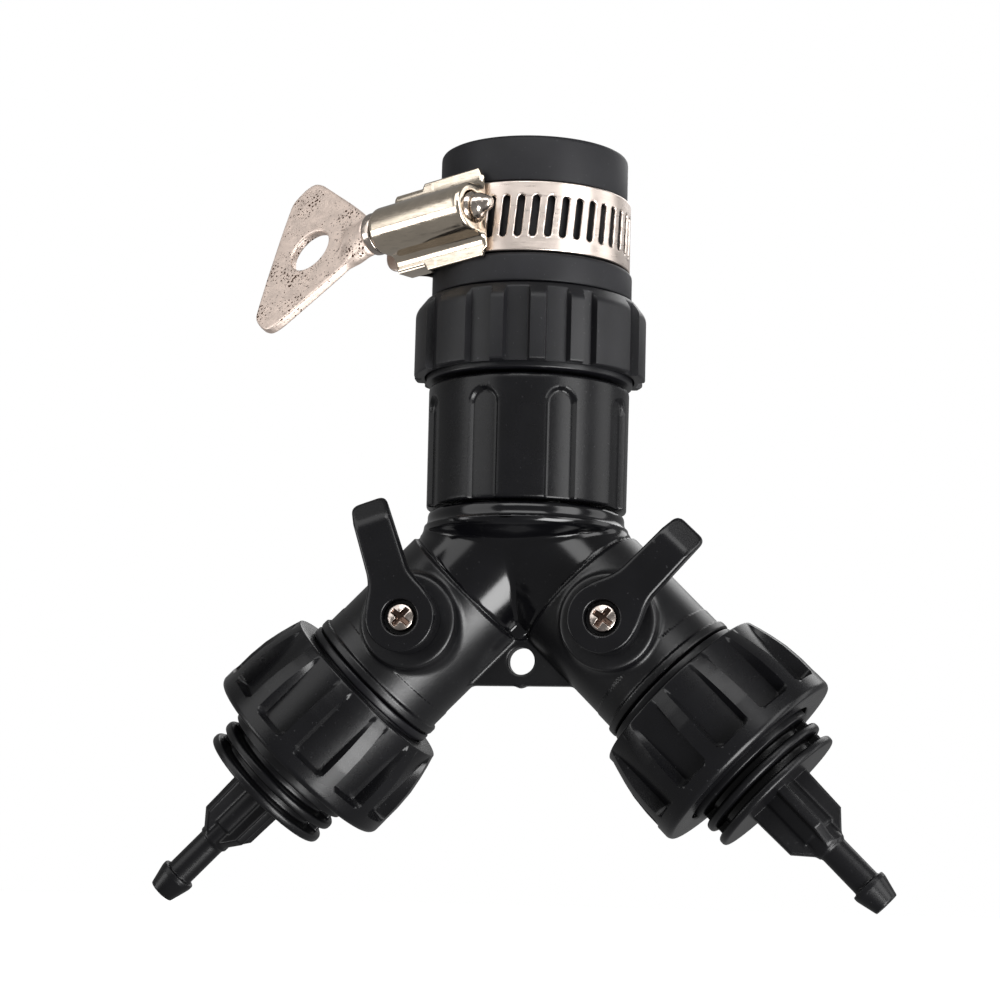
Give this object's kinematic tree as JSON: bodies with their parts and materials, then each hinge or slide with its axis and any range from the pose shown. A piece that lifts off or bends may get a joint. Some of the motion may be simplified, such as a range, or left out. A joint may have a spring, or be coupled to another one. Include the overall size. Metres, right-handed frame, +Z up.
{
  "type": "hose splitter",
  "caption": "Hose splitter with a clamped universal tap sleeve, a swivel nut, a Y body with lever ball valves and union nuts holding barbed micro-tube adapters.",
  "frame": {"origin": "centre of the tap sleeve's mouth, in the plane of its rim", "axes": "+Z up along the inlet axis towards the tap, +X to the right-hand outlet, -Y to the side of the valve levers"},
  "size_m": [0.1345, 0.0466, 0.137],
  "materials": {
    "sleeve_rubber": "matte moulded rubber",
    "seal_rubber": "soft black rubber",
    "ring_plastic": "fine spark-textured black plastic",
    "connector_plastic": "plain moulded black plastic",
    "nut_plastic": "satin black plastic",
    "adapter_plastic": "satin black plastic",
    "body_plastic": "polished black plastic",
    "lever_plastic": "semi-gloss black plastic",
    "valve_plastic": "smooth white plastic",
    "seat_plastic": "waxy white low-friction plastic",
    "band_steel": "rolled stainless steel strip",
    "housing_steel": "polished stainless steel",
    "key_steel": "pitted stamped steel",
    "screw_nickel": "bright nickel plate"
  },
  "bodies": {
    "tap_connector": {"rubber_sleeve": "sleeve_rubber", "grip_ring": "ring_plastic", "tap_connector": "connector_plastic", "clamp_band": "band_steel", "clamp_housing": "housing_steel"},
    "clamp_screw": {"worm_screw": "screw_nickel", "wing_key": "key_steel"},
    "inlet_washer": {"inlet_washer": "seal_rubber"},
    "swivel_nut": {"swivel_nut": "nut_plastic"},
    "y_body": {"y_body": "body_plastic", "left_inner_seat": "seat_plastic", "left_outer_seat": "seat_plastic", "left_outlet_tail": "connector_plastic", "right_inner_seat": "seat_plastic", "right_outer_seat": "seat_plastic", "right_outlet_tail": "connector_plastic"},
    "left_valve": {"left_ball": "valve_plastic", "left_stem": "valve_plastic", "left_stem_seal": "seal_rubber", "left_lever": "lever_plastic", "left_lever_screw": "screw_nickel"},
    "left_outlet_washer": {"left_outlet_washer": "seal_rubber"},
    "left_outlet_nut": {"left_outlet_nut": "nut_plastic"},
    "left_barb_adapter": {"left_barb_adapter": "adapter_plastic"},
    "right_valve": {"right_ball": "valve_plastic", "right_stem": "valve_plastic", "right_stem_seal": "seal_rubber", "right_lever": "lever_plastic", "right_lever_screw": "screw_nickel"},
    "right_outlet_washer": {"right_outlet_washer": "seal_rubber"},
    "right_outlet_nut": {"right_outlet_nut": "nut_plastic"},
    "right_barb_adapter": {"right_barb_adapter": "adapter_plastic"}
  },
  "joints": [
    {"name": "wing_screw_turn", "type": "hinge", "parent": "tap_connector", "child": "clamp_screw", "pos_m": [-0.01542, -0.01706, -0.015], "axis": [0.8879, -0.4524, 0.0837], "continuous": true},
    {"name": "swivel_nut_travel", "type": "slide", "parent": "tap_connector", "child": "inlet_washer", "axis": [0, 0, -1], "range_m": [0, 0.0126]},
    {"name": "swivel_nut_turn", "type": "hinge", "parent": "inlet_washer", "child": "swivel_nut", "pos_m": [0, 0, -0.054], "axis": [0, 0, -1], "range_deg": [0, 2520]},
    {"name": "y_body_swivel", "type": "hinge", "parent": "inlet_washer", "child": "y_body", "pos_m": [0, 0, -0.0692], "axis": [0, 0, 1], "continuous": true},
    {"name": "left_lever_turn", "type": "hinge", "parent": "y_body", "child": "left_valve", "pos_m": [-0.01782, 0, -0.08702], "axis": [0, 1, 0], "range_deg": [-26.5, 63.5]},
    {"name": "left_nut_travel", "type": "slide", "parent": "y_body", "child": "left_outlet_washer", "axis": [-0.7071, 0, -0.7071], "range_m": [0, 0.0128]},
    {"name": "left_nut_turn", "type": "hinge", "parent": "left_outlet_washer", "child": "left_outlet_nut", "pos_m": [-0.03535, 0, -0.10455], "axis": [-0.7071, 0, -0.7071], "range_deg": [0, 2520]},
    {"name": "left_adapter_swivel", "type": "hinge", "parent": "left_outlet_washer", "child": "left_barb_adapter", "pos_m": [-0.04596, 0, -0.11516], "axis": [-0.7071, 0, -0.7071], "continuous": true},
    {"name": "right_lever_turn", "type": "hinge", "parent": "y_body", "child": "right_valve", "pos_m": [0.01782, 0, -0.08702], "axis": [0, 1, 0], "range_deg": [-88.5, 1.5]},
    {"name": "right_nut_travel", "type": "slide", "parent": "y_body", "child": "right_outlet_washer", "axis": [0.7071, 0, -0.7071], "range_m": [0, 0.0128]},
    {"name": "right_nut_turn", "type": "hinge", "parent": "right_outlet_washer", "child": "right_outlet_nut", "pos_m": [0.03535, 0, -0.10455], "axis": [0.7071, 0, -0.7071], "range_deg": [0, 2520]},
    {"name": "right_adapter_swivel", "type": "hinge", "parent": "right_outlet_washer", "child": "right_barb_adapter", "pos_m": [0.04596, 0, -0.11516], "axis": [0.7071, 0, -0.7071], "continuous": true}
  ],
  "couplings": [
    {"joint": "swivel_nut_turn", "follows": "swivel_nut_travel", "rad_per_m": 3463.7},
    {"joint": "left_nut_travel", "follows": "left_nut_turn", "m_per_rad": 0.00028871},
    {"joint": "right_nut_travel", "follows": "right_nut_turn", "m_per_rad": 0.00028871}
  ]
}
